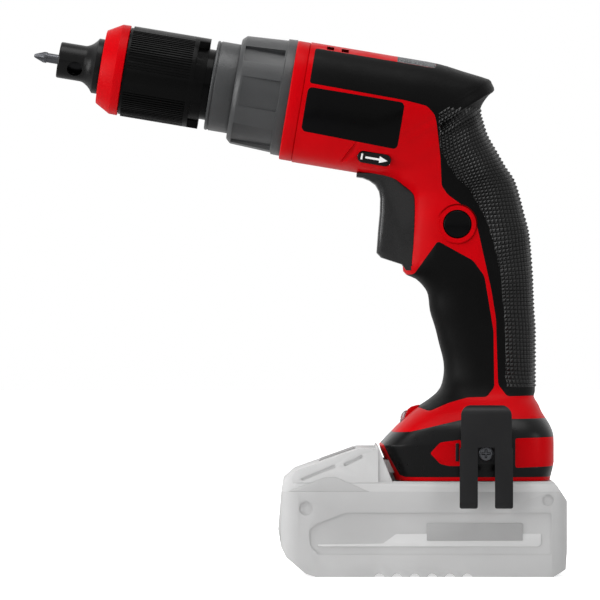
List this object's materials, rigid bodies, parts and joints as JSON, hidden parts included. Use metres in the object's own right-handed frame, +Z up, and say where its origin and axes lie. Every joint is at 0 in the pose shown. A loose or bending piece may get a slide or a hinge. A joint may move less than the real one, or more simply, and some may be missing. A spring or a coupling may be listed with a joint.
{
  "type": "cordless drywall screwdriver",
  "caption": "Pistol-grip cordless drywall screwdriver with depth-stop collar, planetary gearbox, push clutch, belt hook and slide-on battery pack.",
  "frame": {"origin": "underside of the battery pack, on the mid-plane, below the point of the barrel line over the handle", "axes": "+X from the nose towards the handle, +Y towards the user's right when the nose points away from them, +Z up"},
  "size_m": [0.2441, 0.0847, 0.2528],
  "materials": {
    "red_plastic": "smooth moulded",
    "soft_overmould": "fine moulded texture",
    "black_plastic": "satin moulded",
    "grey_plastic": "fine texture",
    "gearbox_metal": "satin",
    "hook_steel": "satin black",
    "bright_steel": "turned",
    "copper_wire": "drawn wire",
    "circuit_board": "satin",
    "cell_wrap": "shrink wrap",
    "lens": "clear",
    "battery_plastic": "satin moulded"
  },
  "bodies": {
    "tool": {"housing_left": "red_plastic", "housing_right": "red_plastic", "rear_grip_left": "soft_overmould", "rear_grip_right": "soft_overmould", "front_grip_left": "soft_overmould", "front_grip_right": "soft_overmould", "side_plate_left": "black_plastic", "side_plate_right": "black_plastic", "top_insert": "grey_plastic", "foot_band_left": "black_plastic", "foot_band_right": "black_plastic", "motor_flange": "red_plastic", "motor_bracket": "bright_steel", "gearbox_housing": "gearbox_metal", "nose_ring": "gearbox_metal", "guide_sleeve": "black_plastic", "spindle_bearing": "bright_steel", "ring_gear": "bright_steel", "front_motor_bearing": "bright_steel", "rear_motor_bearing": "bright_steel", "stator_core": "bright_steel", "stator_windings": "copper_wire", "switch_module": "black_plastic", "controller_board": "circuit_board", "led_board": "circuit_board", "led_lens": "lens", "terminal_block": "black_plastic", "belt_hook": "hook_steel", "hook_screw": "bright_steel", "housing_screws": "bright_steel", "trigger_spring": "bright_steel"},
    "rotor": {"rotor_shaft": "bright_steel", "rotor_core": "bright_steel", "fan": "black_plastic", "sun_gear": "bright_steel"},
    "carrier": {"planet_carrier": "bright_steel", "clutch_spring": "bright_steel"},
    "planet_1": {"planet_gear_1": "bright_steel"},
    "planet_2": {"planet_gear_2": "bright_steel"},
    "planet_3": {"planet_gear_3": "bright_steel"},
    "spindle": {"spindle": "bright_steel", "bit_holder": "bright_steel", "holder_magnet": "bright_steel"},
    "bit": {"screwdriver_bit": "bright_steel"},
    "collar": {"depth_collar": "black_plastic"},
    "depth_stop": {"front_cap": "red_plastic", "nosepiece": "black_plastic"},
    "trigger": {"trigger": "black_plastic"},
    "selector": {"selector": "black_plastic"},
    "lock": {"lock_button": "black_plastic"},
    "battery": {"battery_lower_case": "battery_plastic", "battery_upper_case": "battery_plastic", "battery_cells": "cell_wrap", "cell_frame": "black_plastic", "battery_board": "circuit_board", "battery_contacts": "copper_wire", "battery_screws": "bright_steel", "release_spring": "bright_steel"},
    "release": {"release_button": "black_plastic"}
  },
  "joints": [
    {"name": "carrier_spin", "type": "hinge", "parent": "tool", "child": "carrier", "pos_m": [0, 0, 0.2087], "axis": [0.9863, 0, -0.165], "continuous": true},
    {"name": "rotor_spin", "type": "hinge", "parent": "tool", "child": "rotor", "pos_m": [0, 0, 0.2087], "axis": [0.9863, 0, -0.165], "continuous": true},
    {"name": "planet_spin_1", "type": "hinge", "parent": "carrier", "child": "planet_1", "pos_m": [0.00173, 0, 0.21906], "axis": [0.9863, 0, -0.165], "continuous": true},
    {"name": "planet_spin_2", "type": "hinge", "parent": "carrier", "child": "planet_2", "pos_m": [-0.00087, -0.00909, 0.20352], "axis": [0.9863, 0, -0.165], "continuous": true},
    {"name": "planet_spin_3", "type": "hinge", "parent": "carrier", "child": "planet_3", "pos_m": [-0.00087, 0.00909, 0.20352], "axis": [0.9863, 0, -0.165], "continuous": true},
    {"name": "spindle_push", "type": "slide", "parent": "carrier", "child": "spindle", "axis": [0.9863, 0, -0.165], "range_m": [0, 0.002], "stiffness_N_per_m": 2500, "springref_m": -0.001, "deforming": ["clutch_spring"]},
    {"name": "bit_pull", "type": "slide", "parent": "spindle", "child": "bit", "axis": [-0.9863, 0, 0.165], "range_m": [0, 0.016]},
    {"name": "collar_turn", "type": "hinge", "parent": "tool", "child": "collar", "pos_m": [0, 0, 0.2087], "axis": [0.9863, 0, -0.165], "range_deg": [0, 475]},
    {"name": "stop_slide", "type": "slide", "parent": "tool", "child": "depth_stop", "axis": [-0.9863, 0, 0.165], "range_m": [0, 0.004]},
    {"name": "trigger_pull", "type": "slide", "parent": "tool", "child": "trigger", "axis": [0.9863, 0, -0.165], "range_m": [0, 0.006], "stiffness_N_per_m": 900, "springref_m": -0.003, "deforming": ["trigger_spring"]},
    {"name": "selector_shift", "type": "slide", "parent": "tool", "child": "selector", "axis": [0, 1, 0], "range_m": [-0.0025, 0.0025]},
    {"name": "lock_press", "type": "slide", "parent": "tool", "child": "lock", "axis": [0, 1, 0], "range_m": [0, 0.0025], "stiffness_N_per_m": 600, "springref_m": -0.001},
    {"name": "battery_slide", "type": "slide", "parent": "tool", "child": "battery", "axis": [-1, 0, 0], "range_m": [0, 0.07]},
    {"name": "release_press", "type": "slide", "parent": "battery", "child": "release", "axis": [0, 0, -1], "range_m": [0, 0.0025], "stiffness_N_per_m": 900, "springref_m": -0.001, "deforming": ["release_spring"]}
  ],
  "couplings": [
    {"joint": "rotor_spin", "follows": "carrier_spin", "ratio": 5},
    {"joint": "planet_spin_1", "follows": "carrier_spin", "ratio": -2.6667},
    {"joint": "planet_spin_2", "follows": "carrier_spin", "ratio": -2.6667},
    {"joint": "planet_spin_3", "follows": "carrier_spin", "ratio": -2.6667},
    {"joint": "stop_slide", "follows": "collar_turn", "m_per_rad": 0.00047746}
  ]
}
